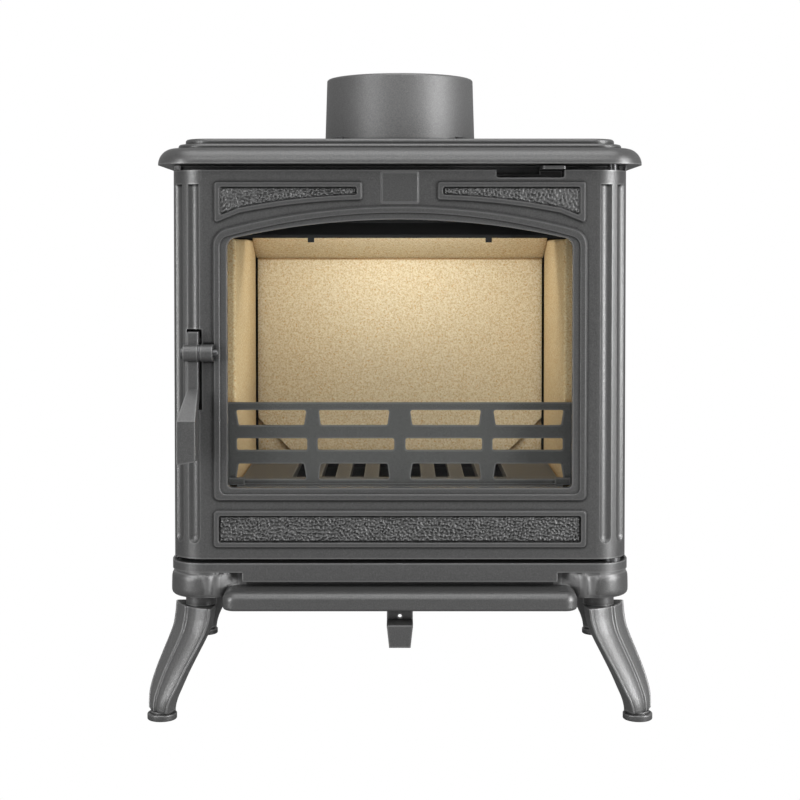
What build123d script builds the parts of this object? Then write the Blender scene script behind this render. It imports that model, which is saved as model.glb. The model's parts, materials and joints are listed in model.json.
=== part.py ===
from build123d import *
import math
import os

# A small cast iron stove on four splayed legs, with a full-width glazed door.
# All lengths are in millimetres. X points right, Y points to the back, Z points up.
# The origin is on the hearth, under the middle of the overall width and depth.

# Casing
casing_w = 420.0
casing_d = 322.0
corner_r = 30.0
casting_t = 6.0
base_bottom = 110.0
base_top = 142.3
plate_under = 507.7

# Legs and feet, measured outwards from a corner's centre
foot_out_x = 38.0
foot_out_y = 33.5
pad_r = 13.5
pad_h = 6.0
pad_neck_r = 10.5
pad_neck_h = 2.0
leg_top = 100.0
leg_levels = [(100.0, 14.6, 26.0), (84.0, 21.6, 25.5), (57.0, 35.2, 21.6), (41.0, 43.6, 19.4),
              (21.0, 51.0, 16.4), (8.0, 54.2, 13.2)]
leg_bulge = 0.32
leg_depth = 13.5
leg_back_share = 0.6
leg_back_bulge = 3.0
ankle_r = 12.5
ankle_h = 10.0
neck_r = 14.3
neck_out = 7.0
leg_bolt_r = 4.0
leg_bolt_head_r = 7.5
leg_bolt_head_h = 5.0

# The grip stands this far in front of the casing's middle
grip_front = 201.0

# Base casting and ash shelf
base_over = 2.0
rim_h = 8.5
rim_proud = 1.6
apron_half_in = 65.5
apron_bottom = 125.3
lobe_inner_in = 46.5
lobe_r = 8.0
lobe_setback = 12.0
lobe_flute_r = 20.0
lobe_flute_depth = 1.5
lobe_flute_in = 33.5
shelf_half_in = 49.0
shelf_reach = 27.0
shelf_top = 120.4
shelf_t = 17.0
shelf_nose_r = 8.0
shelf_corner_r = 12.0
shelf_foot_r = 3.0
shelf_wall = 5.0
shelf_bolt_r = 3.0
shelf_bolt_x_in = 90.0

# Top plate
plate_over_side = 13.7
plate_over_front = 10.0
plate_corner_r = 35.0
plate_nose_h = 15.3
plate_nose_r = 15.0
tier_heights = [4.0, 5.0]
tier_insets = [17.7, 24.0]
tier_edge_r = 2.5

# Flue collar
collar_back = 16.6
collar_base_r = 76.2
collar_top_r = 74.0
collar_h = 70.0
collar_bore_r = 68.0
plate_bore_r = 64.0
collar_rim_r = 2.0
flange_r = 92.0
flange_h = 5.0
ring_gap = 0.3
flange_bolt_ring = 84.0
flange_bolt_count = 4
flange_bolt_r = 3.0
flange_head_r = 5.0
flange_head_h = 3.5

# Door casting
door_gap_low = 3.7
door_gap_high = 5.2
door_t = 7.0
door_return = 26.0
door_corner_t = 6.5
seam = 1.0
window_half_in = 52.2
window_sill = 211.6
window_spring = 439.0
window_crown = 457.3
window_low_r = 4.5
window_high_r = 9.5
frame_half_in = 38.7
frame_sill = 199.0
frame_crown = 470.1
frame_arch_r = 631.0
frame_low_r = 6.0
frame_high_r = 17.0
frame_proud = 2.4
frame_lip = 6.4
frame_step = 1.0
flute_angles = [17.0, 50.5]
flute_r = 9.0
flute_depth = 2.6
flute_low = 157.5
flute_high = 489.5

# Framed panels on the door, whose hammered fields are left flat here
border_w = 5.0
border_proud = 1.8
field_sink = 0.8
field_r = 2.5
outer_slope = 40.0
inner_slope = 30.0
low_panel_half_in = 38.7
low_panel_bottom = 156.0
low_panel_top = 191.3
low_panel_r = 4.0
high_panel_inner = 34.0
high_panel_outer_in = 40.2
high_panel_top = 492.3
high_panel_inner_bottom = 474.4
high_panel_mid = [102.0, 469.6]
high_panel_bend = [146.0, 462.4]
high_panel_outer_bottom = 452.8
high_panel_r = 3.0
plaque_half = 16.7
plaque_bottom = 472.6
plaque_top = 500.4
plaque_sink = 1.2
plaque_t = 1.6

# Air-wash notch and slider
notch_low_x_in = 122.1
notch_high_x_in = 60.0
notch_depth = 7.1
notch_r = 2.7
air_travel = 41.0
air_tab_w = 21.0
air_tab_right_in = 59.0
air_tab_out = 4.0
air_plate_t = 3.0
air_slot_w = 34.0
air_slot_h = 9.0
air_slot_pitch = 82.0
air_slot_count = 3
air_slot_shift = -41.0
air_slot_z = 493.5
air_cover_h = 12.5
air_guide_places = [-100.0, 20.0]

# Rope seal and the land that holds it
rope_r = 4.0
rope_half_in = 38.0
rope_low = 153.0
rope_high = 478.0
rope_corner_r = 14.0
land_w = 14.0
land_depth = 27.5
groove_w = 9.0
groove_depth = 2.5
soft_gap = 0.3

# Glass
glass_half_in = 47.5
glass_low = 205.5
glass_high = 463.0
glass_t = 4.0
gasket_t = 2.5
clip_w = 16.0
clip_t = 2.5
clip_bite = 4.5
clip_x_in = 105.0
screw_r = 2.0
screw_head_r = 3.5
screw_head_h = 2.2

# Hinge, on an upright axis inside the right-hand corner
hinge_in = 14.0
pin_r = 4.0
run_gap = 0.08
pin_in_door = 11.0
pin_in_base = 6.3
pin_in_plate = 10.0
lug_r = 9.0
lug_h = 12.0
hinge_washer_r = 8.0
sweep_gap = 0.5
float_gap = 0.2

# Latch
pivot_out = 8.0
pivot_z = 335.7
barrel_r = 7.7
slot_left_in = 14.7
slot_right_in = 29.0
slot_low = 283.0
slot_high = 357.0
arm_left_in = 16.8
arm_right_in = 26.6
knuckle_left_in = 13.2
knuckle_right_in = 26.6
washer_left_in = 26.8
washer_right_in = 28.9
lug_left_in = 29.1
lug_right_in = 40.2
pin_end_in = 45.0
latch_pin_r = 3.5
arm_back = 11.0
arm_top = 354.8
arm_low = 303.0
grip_top = 277.0
grip_low = 237.5
grip_left_in = 10.8
grip_right_in = 27.7
grip_depth = 21.0
tongue_low = 328.0
tongue_top = 338.0
tongue_reach = 36.0
tongue_tip = 5.0
tongue_rise = 3.0
catch_gap = 0.8
catch_pin_r = 4.0
catch_back = 29.5
catch_cheek_t = 3.0
catch_plate_t = 3.0

# Front frame of the casing
frame_back = 33.5
jamb_t = 6.0
mouth_half_in = 46.5
mouth_low = 162.0
mouth_high = 458.0
mouth_r = 8.0
frame_screw_x_in = 18.0
frame_screw_z = [170.0, 250.0, 410.0, 472.0]

# Firebox
brick_back = 40.5
brick_t = 25.0
brick_inner_in = 56.0
side_brick_d_less = 112.0
brick_low = 202.0
side_brick_top = 440.0
brick_edge_r = 3.0
back_brick_front_less = 64.0
back_brick_half_in = 57.5
back_brick_top = 421.0
corner_brick_leg = 47.4
corner_brick_back = 3.5
brick_joint = 0.4
liner_t = 5.0
liner_down = 60.0
floor_t = 6.0
floor_open_half_in = 72.0
floor_open_front = 62.0
floor_open_back_less = 76.0
cheek_x_in = 64.0
cheek_t = 6.0
grate_half_in = 58.0
grate_front = 24.0
grate_back_less = 66.0
grate_t = 8.0
grate_slot_w = 13.5
grate_slot_pitch = 27.7
grate_slot_count = 8
grate_slot_front = 66.0
grate_slot_back_less = 84.0
baffle_half_in = 61.5
baffle_t = 22.0
baffle_low = 421.0
baffle_rise = 54.0
baffle_run_less = 139.0
baffle_bar_r = 5.0

# Air-wash deflector
sheet_t = 3.0
deflector_low = 440.7
deflector_out = 17.0
deflector_lip = 11.3
deflector_top_in = 3.7
deflector_tab_x = 83.3
deflector_tab_h = 4.1

# Fire bars behind the glass
bars_half_in = 48.0
bars_top = 286.8
bars_front = 33.5
bars_t = 5.0
bars_foot = 15.0
bars_foot_t = 5.0
bars_top_row = [265.3, 279.8]
bars_mid_row = [242.0, 253.3]
bars_low_row = [214.8, 229.5]
bars_inner_gap = [42.9, 31.2, 33.2]
bars_outer_gap = [120.5, 30.7, 33.0]
bars_mid_inner_gap = [41.2, 35.9]
bars_mid_outer_gap = [119.8, 33.0]
bars_gap_r = 2.0
bars_toe_x_in = 50.5
bars_toe_w = 14.5
bars_toe_h = 6.5
bars_toe_out = 5.0

# Ash pan
pan_half_in = 76.0
pan_front = 47.0
pan_back_less = 82.0
pan_h = 30.0
pan_t = 1.5
pan_lip = 9.0
pan_lug_half = 22.0

# Primary air slider under the base
inlet_count = 3
inlet_pitch = 44.0
inlet_w = 24.0
inlet_d = 26.0
inlet_back = 88.0
draw_half = 11.9
draw_tip_half = 9.6
draw_t = 3.0
draw_travel = 28.0
draw_plate_half = 62.0
draw_plate_d = 30.0
draw_overlap = 2.0
draw_neck = 34.0
draw_run_z = 102.6
draw_ledge_z = 91.0
draw_tip_z = 70.8
draw_hole_r = 1.8
draw_step_out = 2.0
runner_w = 9.0

# Back of the casing
rear_outlet_r = 60.0
rear_outlet_z = 426.0
blank_r = 72.0
blank_t = 5.0
blank_bolt_r = 2.5
side_field_in = 26.0
side_field_sink = 1.5
tie_r = 4.0
tie_in = 16.0
frame_flange_w = 20.0
frame_screw_r = 2.5
frame_screw_head_h = 2.5
brick_rib_t = 6.0
brick_rib_back = [75.0, 200.0]

# Widths are named by how far they stay inside the casing, and depths by how much less they are
apron_half = casing_w / 2 - apron_half_in
lobe_inner = casing_w / 2 - lobe_inner_in
shelf_half = casing_w / 2 - shelf_half_in
window_half = casing_w / 2 - window_half_in
frame_half = casing_w / 2 - frame_half_in
low_panel_half = casing_w / 2 - low_panel_half_in
high_panel_outer = casing_w / 2 - high_panel_outer_in
notch_low_x = casing_w / 2 - notch_low_x_in
notch_high_x = casing_w / 2 - notch_high_x_in
rope_half = casing_w / 2 - rope_half_in
glass_half = casing_w / 2 - glass_half_in
clip_x = casing_w / 2 - clip_x_in
slot_left = casing_w / 2 - slot_left_in
slot_right = casing_w / 2 - slot_right_in
arm_left = casing_w / 2 - arm_left_in
arm_right = casing_w / 2 - arm_right_in
knuckle_left = casing_w / 2 - knuckle_left_in
knuckle_right = casing_w / 2 - knuckle_right_in
washer_left = casing_w / 2 - washer_left_in
washer_right = casing_w / 2 - washer_right_in
lug_left = casing_w / 2 - lug_left_in
lug_right = casing_w / 2 - lug_right_in
pin_end = casing_w / 2 - pin_end_in
grip_left = casing_w / 2 - grip_left_in
grip_right = casing_w / 2 - grip_right_in
mouth_half = casing_w / 2 - mouth_half_in
frame_screw_x = casing_w / 2 - frame_screw_x_in
brick_inner = casing_w / 2 - brick_inner_in
back_brick_half = casing_w / 2 - back_brick_half_in
floor_open_half = casing_w / 2 - floor_open_half_in
cheek_x = casing_w / 2 - cheek_x_in
grate_half = casing_w / 2 - grate_half_in
baffle_half = casing_w / 2 - baffle_half_in
bars_half = casing_w / 2 - bars_half_in
bars_toe_x = casing_w / 2 - bars_toe_x_in
pan_half = casing_w / 2 - pan_half_in
air_tab_right = casing_w / 2 - air_tab_right_in
shelf_bolt_x = casing_w / 2 - shelf_bolt_x_in
back_brick_front = casing_d - back_brick_front_less
side_brick_d = casing_d - side_brick_d_less
floor_open_back = casing_d - floor_open_back_less
grate_back = casing_d - grate_back_less
grate_slot_back = casing_d - grate_slot_back_less
pan_back = casing_d - pan_back_less
baffle_run = casing_d - baffle_run_less

# Positions that follow from the sizes above
corner_x = casing_w / 2 - corner_r
corner_y = casing_d / 2 - corner_r
foot_reach = math.hypot(foot_out_x, foot_out_y)
leg_angle = math.degrees(math.atan2(foot_out_y, foot_out_x))
rear_reach = corner_y + foot_out_y + pad_r
casing_y = (grip_front - rear_reach) / 2
front_y = casing_y - casing_d / 2
back_y = casing_y + casing_d / 2
door_low = base_top + door_gap_low
door_high = plate_under - door_gap_high
frame_y = front_y + frame_back
jamb_back_y = frame_y + jamb_t
inner_half = casing_w / 2 - casting_t
inner_back_y = back_y - casting_t
liner_y = front_y + back_brick_front + brick_t
hinge_x = casing_w / 2 - hinge_in
hinge_y = front_y + hinge_in
flue_y = casing_y + collar_back
plate_top = plate_under + plate_nose_h + sum(tier_heights)
collar_top = plate_top + collar_h
pivot_y = front_y - pivot_out
recess_y = front_y - base_over + rim_proud + lobe_setback
nose_y = front_y - shelf_reach
shelf_low = shelf_top - shelf_t
base_floor = base_top - casting_t
grate_top = brick_low + grate_t
glass_y = front_y + door_t + gasket_t
tongue_y = pivot_y + tongue_reach


def block(x0, x1, y0, y1, z0, z1):
    """A box between two corners."""
    size = (x1 - x0, y1 - y0, z1 - z0)
    middle = ((x0 + x1) / 2, (y0 + y1) / 2, (z0 + z1) / 2)
    return Pos(*middle) * Box(*size)


def rod(radius, start, end):
    """A round bar between two points."""
    start, end = Vector(*start), Vector(*end)
    along = end - start
    plane = Plane(origin=start, z_dir=along)
    return extrude(plane * Circle(radius), along.length)


def plan_prism(width, depth, radius, z0, z1, middle_y=casing_y):
    """An upright prism with a rounded rectangle for its plan."""
    plan = Plane.XY.offset(z0) * Pos(0, middle_y) * RectangleRounded(width, depth, radius)
    return extrude(plan, z1 - z0)


def front_prism(outline, y0, y1):
    """A prism that runs back from y0 to y1, drawn on the front plane in X and Z."""
    face = Plane(origin=(0, y0, 0), x_dir=(1, 0, 0), z_dir=(0, -1, 0)) * outline
    return extrude(face, -(y1 - y0))


def raised(outline, y, proud, slope):
    """A moulding that stands forward of y, with sloping edges."""
    face = Plane(origin=(0, y, 0), x_dir=(1, 0, 0), z_dir=(0, -1, 0)) * outline
    return extrude(face, proud, taper=slope)


def sunk(outline, y, depth, slope):
    """A recess cut back from y, with sloping edges."""
    face = Plane(origin=(0, y, 0), x_dir=(1, 0, 0), z_dir=(0, -1, 0)) * outline
    return extrude(face, -depth, taper=slope)


def side_prism(points, x0, x1):
    """A prism along X whose outline is given as points in Y and Z."""
    plane = Plane(origin=(x0, 0, 0), x_dir=(0, 1, 0), z_dir=(1, 0, 0))
    return extrude(plane * make_face(Polyline(*points, close=True)), x1 - x0)


def mirrored(shape):
    """The same shape on the other side of the middle plane."""
    return mirror(shape, Plane.YZ)


def upright_edges(shape):
    return shape.edges().filter_by(Axis.Z)


def arch_outline(half, sill, spring, crown, low_r, high_r):
    """A window outline: straight sill and jambs under a shallow arch."""
    arch = ThreePointArc((-half, spring), (0, crown), (half, spring))
    jambs = Polyline((half, spring), (half, sill), (-half, sill), (-half, spring))
    face = make_face(arch + jambs)
    low = face.vertices().filter_by_position(Axis.Y, sill - 1, sill + 1)
    face = fillet(low, low_r)
    high = face.vertices().filter_by_position(Axis.Y, spring - 1, spring + 1)
    return fillet(high, high_r)


def frame_spring():
    """Height at which the outer arch of the window frame meets its sides."""
    return frame_crown - frame_arch_r + math.sqrt(frame_arch_r**2 - frame_half**2)


def corner_places():
    """Name, centre and outward angle of each corner of the casing."""
    return [
        ("front_left", -corner_x, casing_y - corner_y, 180 + leg_angle),
        ("front_right", corner_x, casing_y - corner_y, -leg_angle),
        ("rear_left", -corner_x, casing_y + corner_y, 180 - leg_angle),
        ("rear_right", corner_x, casing_y + corner_y, leg_angle),
    ]


def at_corner(shape, x, y, angle):
    return Pos(x, y, 0) * Rot(0, 0, angle) * shape


# Legs

def leg_section(level):
    """One level cut through a leg: its height, how far out its edges are and half its width."""
    z, edge, half = level
    crest = edge + leg_bulge * half
    back, back_half = edge - leg_depth, leg_back_share * half
    face = ThreePointArc((edge, -half), (crest, 0), (edge, half))
    face += Line((edge, half), (back, back_half))
    face += ThreePointArc((back, back_half), (back - leg_back_bulge, 0), (back, -back_half))
    face += Line((back, -back_half), (edge, -half))
    return Plane.XY.offset(z) * make_face(face)


def make_leg():
    """A cabriole leg, drawn with its corner's centre at the origin and X outwards."""
    leg = loft([leg_section(level) for level in leg_levels])
    ankle_low = pad_h + pad_neck_h
    ankle = rod(ankle_r, (foot_reach, 0, ankle_low), (foot_reach, 0, ankle_low + ankle_h))
    hole = rod(leg_bolt_r, (neck_out, 0, leg_top - 30), (neck_out, 0, leg_top))
    return leg + ankle - hole


def make_foot_pad():
    pad = rod(pad_r, (foot_reach, 0, 0), (foot_reach, 0, pad_h))
    pad = fillet(pad.edges().filter_by(GeomType.CIRCLE), 1.2)
    neck_top = pad_h + pad_neck_h
    return pad + rod(pad_neck_r, (foot_reach, 0, pad_h), (foot_reach, 0, neck_top))


def make_leg_bolt():
    head_z = base_floor - leg_bolt_head_h
    low = leg_top - 30
    shank = rod(leg_bolt_r, (neck_out, 0, low), (neck_out, 0, base_top - 8))
    head_plane = Plane.XY.offset(base_top - 8) * Pos(neck_out, 0)
    head = extrude(head_plane * RegularPolygon(leg_bolt_head_r, 6), leg_bolt_head_h)
    return shank + head


# Base

def make_base():
    """A tray upside down: a floor with a rim, a skirt with four lobes and leg bosses."""
    width = casing_w + 2 * base_over
    depth = casing_d + 2 * base_over
    radius = corner_r + base_over
    rim = plan_prism(width, depth, radius, base_top - rim_h, base_top)
    skirt_w = width - 2 * rim_proud
    skirt_d = depth - 2 * rim_proud
    skirt_r = radius - rim_proud
    skirt = plan_prism(skirt_w, skirt_d, skirt_r, base_bottom, base_top - rim_h)
    skirt_front = casing_y - skirt_d / 2
    recess = block(-lobe_inner, lobe_inner, skirt_front - 1, skirt_front + lobe_setback,
                   base_bottom - 1, base_top - rim_h)
    skirt -= recess
    nose = [edge for edge in upright_edges(skirt)
            if abs(edge.center().Y - skirt_front) < 0.1 and abs(abs(edge.center().X) - lobe_inner) < 0.1]
    skirt = fillet(nose, lobe_r)
    for side in (-1, 1):
        x = side * (casing_w / 2 - lobe_flute_in)
        y = skirt_front - lobe_flute_r + lobe_flute_depth
        skirt -= rod(lobe_flute_r, (x, y, base_bottom - 1), (x, y, base_top - rim_h))
    rim_front = casing_y - depth / 2
    apron = block(-apron_half, apron_half, rim_front, skirt_front + lobe_setback + casting_t,
                  apron_bottom, base_top - rim_h)
    hollow = plan_prism(skirt_w - 2 * casting_t, skirt_d - 2 * casting_t, skirt_r - casting_t,
                        base_bottom - 1, base_floor)
    keep = block(-lobe_inner - casting_t, lobe_inner + casting_t, skirt_front,
                 skirt_front + lobe_setback + casting_t, base_bottom - 1, base_floor)
    base = rim + skirt + apron - (hollow - keep)
    for name, x, y, angle in corner_places():
        boss = rod(neck_r, (neck_out, 0, leg_top), (neck_out, 0, base_floor))
        hole = rod(leg_bolt_r, (neck_out, 0, leg_top), (neck_out, 0, base_top))
        pocket = Plane.XY.offset(base_top - 8) * Pos(neck_out, 0)
        pocket = extrude(pocket * RegularPolygon(leg_bolt_head_r, 6), 9)
        base += at_corner(boss, x, y, angle)
        base -= at_corner(hole + pocket, x, y, angle)
    for x in inlet_centres():
        base -= block(x - inlet_w / 2, x + inlet_w / 2, front_y + inlet_back,
                      front_y + inlet_back + inlet_d, base_floor - 1, base_top + 1)
    base -= rod(pin_r, (hinge_x, hinge_y, base_top - pin_in_base), (hinge_x, hinge_y, base_top))
    for x in (-shelf_bolt_x, shelf_bolt_x):
        base -= shelf_bolt_shank(x)
    return base


def inlet_centres():
    first = -inlet_pitch * (inlet_count - 1) / 2
    return [first + i * inlet_pitch for i in range(inlet_count)]


def make_shelf():
    """The ash shelf: a shallow ledge with a round nose, hollow underneath."""
    shelf = block(-shelf_half, shelf_half, nose_y, recess_y, shelf_low, shelf_top)
    corners = [edge for edge in upright_edges(shelf) if edge.center().Y < nose_y + 1]
    shelf = fillet(corners, shelf_corner_r)
    nose = shelf.faces().sort_by(Axis.Z)[-1].edges()
    nose = [edge for edge in nose if edge.center().Y < recess_y - 1]
    shelf = fillet(nose, shelf_nose_r)
    foot = shelf.faces().sort_by(Axis.Z)[0].edges()
    foot = [edge for edge in foot if edge.center().Y < recess_y - 1]
    shelf = fillet(foot, shelf_foot_r)
    under = block(-shelf_half + shelf_wall, shelf_half - shelf_wall, nose_y + shelf_nose_r,
                  recess_y - shelf_wall, shelf_low - 1, shelf_top - shelf_wall)
    shelf -= under
    for x in (-shelf_bolt_x, shelf_bolt_x):
        shelf -= shelf_bolt_shank(x)
    return shelf


def shelf_bolt_shank(x):
    """The bolt's shank, through the base's recessed wall and the shelf's back wall."""
    z = base_bottom + shelf_bolt_r + 1
    return rod(shelf_bolt_r, (x, recess_y - shelf_wall, z), (x, recess_y + casting_t, z))


def make_shelf_bolts():
    bolts = []
    for x in (-shelf_bolt_x, shelf_bolt_x):
        z = base_bottom + shelf_bolt_r + 1
        y = recess_y + casting_t
        bolts.append(shelf_bolt_shank(x) + rod(shelf_bolt_r + 2, (x, y, z), (x, y + 4, z)))
    return bolts


# Top

def make_top_plate():
    """A plate with a rounded edge and two shallow tiers, open under the flue collar."""
    width = casing_w + 2 * plate_over_side
    depth = casing_d + 2 * plate_over_front
    z = plate_under
    plate = plan_prism(width, depth, plate_corner_r, z, z + plate_nose_h)
    plate = fillet(plate.edges().group_by(Axis.Z)[-1], plate_nose_r)
    z += plate_nose_h
    for height, inset in zip(tier_heights, tier_insets):
        tier = plan_prism(width - 2 * inset, depth - 2 * inset, plate_corner_r - inset / 2,
                          z - 1, z + height)
        tier = fillet(tier.edges().group_by(Axis.Z)[-1], tier_edge_r)
        plate += tier
        z += height
    plate -= rod(plate_bore_r, (0, flue_y, plate_under - 1), (0, flue_y, plate_top + 1))
    for x, y in flange_bolt_places():
        plate -= rod(flange_bolt_r, (x, y, plate_under + 4), (x, y, plate_top))
    plate -= rod(pin_r, (hinge_x, hinge_y, plate_under), (hinge_x, hinge_y, plate_under + pin_in_plate))
    return plate


def flange_bolt_places():
    turn = 2 * math.pi / flange_bolt_count
    angles = [turn * (i + 0.5) for i in range(flange_bolt_count)]
    return [(flange_bolt_ring * math.cos(a), flue_y + flange_bolt_ring * math.sin(a)) for a in angles]


def make_collar():
    """The flue collar: a tapered spigot with a straight bore."""
    outside = [(collar_bore_r, 0), (collar_base_r, 0), (collar_top_r, collar_h), (collar_bore_r, collar_h)]
    profile = make_face(Plane.XZ * Polyline(*outside, close=True))
    collar = Pos(0, flue_y, plate_top) * revolve(profile, Axis.Z)
    rim = [edge for edge in collar.edges().filter_by(GeomType.CIRCLE) if edge.center().Z > collar_top - 1]
    return fillet(rim, collar_rim_r)


def make_collar_ring():
    """The flat ring that is bolted down around the collar's foot."""
    ring = rod(flange_r, (0, flue_y, plate_top), (0, flue_y, plate_top + flange_h))
    ring = fillet(ring.edges().group_by(Axis.Z)[-1], 1)
    ring -= rod(collar_base_r + ring_gap, (0, flue_y, plate_top - 1), (0, flue_y, plate_top + flange_h + 1))
    for x, y in flange_bolt_places():
        ring -= rod(flange_bolt_r, (x, y, plate_top), (x, y, plate_top + flange_h))
    return ring


def make_collar_bolts():
    bolts = []
    for x, y in flange_bolt_places():
        shank = rod(flange_bolt_r, (x, y, plate_under + 4), (x, y, plate_top + flange_h))
        top = Plane.XY.offset(plate_top + flange_h) * Pos(x, y)
        bolts.append(shank + extrude(top * RegularPolygon(flange_head_r, 6), flange_head_h))
    return bolts


# Casing walls

def make_side_panel():
    """The left side wall, which turns both rear corners and clears the door's edge."""
    shell = plan_prism(casing_w, casing_d, corner_r, base_top, plate_under)
    shell -= plan_prism(casing_w - 2 * casting_t, casing_d - 2 * casting_t, corner_r - casting_t,
                        base_top - 1, plate_under + 1)
    start_y = front_y + door_return + seam
    side = shell & block(-casing_w / 2 - 1, -corner_x, start_y, back_y + 1, base_top, plate_under)
    field_low = base_top + side_field_in
    field = block(-casing_w / 2 - 1, -casing_w / 2 + side_field_sink, start_y + side_field_in,
                  back_y - corner_r - side_field_in / 2, field_low, plate_under - side_field_in)
    field = fillet(field.edges().filter_by(Axis.X), 8)
    side -= field
    swing = math.hypot(hinge_in - 0.3, door_return - hinge_in) + sweep_gap
    side -= rod(swing, (-hinge_x, hinge_y, base_top - 1), (-hinge_x, hinge_y, plate_under + 1))
    flange_x = -inner_half + frame_flange_w
    side += block(-inner_half - 1, flange_x, jamb_back_y, jamb_back_y + casting_t, base_top, plate_under)
    for back in brick_rib_back:
        y = front_y + back
        side += block(-inner_half - 1, -brick_inner - brick_t, y, y + brick_rib_t, brick_low, side_brick_top)
    for z in frame_screw_z:
        side -= frame_screw_shank(-1, z)
    return side


def frame_screw_shank(side, z):
    x = side * frame_screw_x
    return rod(frame_screw_r, (x, frame_y, z), (x, jamb_back_y + casting_t, z))


def make_rear_panel():
    panel = block(-corner_x, corner_x, back_y - casting_t, back_y, base_top, plate_under)
    panel -= rod(rear_outlet_r, (0, back_y - 20, rear_outlet_z), (0, back_y + 1, rear_outlet_z))
    for x in blank_bolt_places():
        panel -= rod(blank_bolt_r, (x, back_y - 20, rear_outlet_z), (x, back_y + 1, rear_outlet_z))
    return panel


def blank_bolt_places():
    ring = (rear_outlet_r + blank_r) / 2
    return [-ring, ring]


def make_rear_blank():
    """The plate that closes the rear flue outlet."""
    disc = rod(blank_r, (0, back_y, rear_outlet_z), (0, back_y + blank_t, rear_outlet_z))
    disc = chamfer(disc.edges().group_by(Axis.Y)[-1], 1.5)
    for x in blank_bolt_places():
        disc -= rod(blank_bolt_r, (x, back_y - 1, rear_outlet_z), (x, back_y + blank_t + 1, rear_outlet_z))
    return disc


def make_blank_bolts():
    bolts = []
    y1 = back_y + blank_t
    for x in blank_bolt_places():
        shank = rod(blank_bolt_r, (x, back_y - casting_t, rear_outlet_z), (x, y1, rear_outlet_z))
        head = rod(2 * blank_bolt_r, (x, y1, rear_outlet_z), (x, y1 + 3, rear_outlet_z))
        bolts.append(shank + head)
    return bolts


def make_front_frame():
    """The casing's front wall, with one tall mouth for fuel and ash and a row of air slots."""
    frame = block(-inner_half, inner_half, frame_y, jamb_back_y, base_top, plate_under)
    size_z = mouth_high - mouth_low
    mouth = Pos(0, (mouth_low + mouth_high) / 2) * RectangleRounded(2 * mouth_half, size_z, mouth_r)
    frame -= front_prism(mouth, frame_y - 1, jamb_back_y + 1)
    for x in air_slot_centres():
        slot = Pos(x, air_slot_z) * SlotOverall(air_slot_w, air_slot_h)
        frame -= front_prism(slot, frame_y - 1, jamb_back_y + 1)
    for z in frame_screw_z:
        for side in (-1, 1):
            x = side * frame_screw_x
            frame -= frame_screw_shank(side, z)
            frame -= rod(2 * frame_screw_r, (x, frame_y, z), (x, frame_y + frame_screw_head_h, z))
    return frame


def air_slot_centres():
    first = air_slot_shift - air_slot_pitch * (air_slot_count - 1) / 2
    return [first + i * air_slot_pitch for i in range(air_slot_count)]


def make_frame_screws():
    screws = []
    for side in (-1, 1):
        for z in frame_screw_z:
            x = side * frame_screw_x
            head = rod(2 * frame_screw_r, (x, frame_y, z), (x, frame_y + frame_screw_head_h, z))
            screws.append(head + frame_screw_shank(side, z))
    return screws


# Firebox

def make_side_brick():
    """The left side brick, with a softened inner edge all round."""
    y0 = front_y + brick_back
    brick = block(-brick_inner - brick_t, -brick_inner, y0, y0 + side_brick_d, brick_low, side_brick_top)
    edges = [edge for edge in brick.edges() if abs(edge.center().X + brick_inner) < 0.1
             and edge.center().Z > brick_low + 1]
    return fillet(edges, brick_edge_r)


def make_back_brick():
    y0 = front_y + back_brick_front
    brick = block(-back_brick_half, back_brick_half, y0, liner_y, brick_low, back_brick_top)
    corners = [edge for edge in brick.edges().filter_by(Axis.Y) if edge.center().Z < brick_low + 1]
    brick = chamfer(corners, corner_brick_leg)
    top = brick.faces().sort_by(Axis.Z)[-1].edges().sort_by(Axis.Y)[0]
    return chamfer(top, 2)


def make_corner_brick():
    """A three-cornered brick low in the left rear corner of the fire."""
    x0 = -back_brick_half
    leg = corner_brick_leg - brick_joint * math.sqrt(2)
    points = [(x0, brick_low), (x0 + leg, brick_low), (x0, brick_low + leg)]
    outline = make_face(Polyline(*points, close=True))
    return front_prism(outline, front_y + back_brick_front + corner_brick_back, liner_y)


def make_rear_liner():
    """An inner back plate behind the bricks; air rises between it and the rear panel."""
    liner = block(-inner_half, inner_half, liner_y, liner_y + liner_t, brick_low, plate_under - liner_down)
    return liner


def make_floor():
    """The cast ring under the bricks that carries the grate."""
    floor = block(-inner_half, inner_half, jamb_back_y, liner_y + liner_t, brick_low - floor_t, brick_low)
    floor -= block(-floor_open_half, floor_open_half, front_y + floor_open_front, front_y + floor_open_back,
                   brick_low - floor_t - 1, brick_low + 1)
    for side in (-1, 1):
        x0, x1 = sorted((side * (inner_half - frame_flange_w - soft_gap), side * (inner_half + 1)))
        floor -= block(x0, x1, jamb_back_y - 1, jamb_back_y + casting_t + soft_gap,
                       brick_low - floor_t - 1, brick_low + 1)
    for x, y in tie_places():
        floor -= rod(tie_r + 0.5, (x, y, brick_low - floor_t - 1), (x, y, brick_low + 1))
    return floor


def make_cheek():
    """The left wall of the ash chamber, standing on the base and carrying the floor."""
    return block(-cheek_x - cheek_t, -cheek_x, jamb_back_y, liner_y, base_top, brick_low - floor_t)


def make_grate():
    """A cast grate with long slots from front to back."""
    grate = block(-grate_half, grate_half, front_y + grate_front, front_y + grate_back, brick_low, grate_top)
    length = grate_slot_back - grate_slot_front
    first = -grate_slot_pitch * (grate_slot_count - 1) / 2
    for i in range(grate_slot_count):
        x = first + i * grate_slot_pitch
        plan = Plane.XY.offset(brick_low - 1) * Pos(x, front_y + (grate_slot_front + grate_slot_back) / 2)
        grate -= extrude(plan * RectangleRounded(grate_slot_w, length, 3), grate_t + 2)
    return grate


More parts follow.
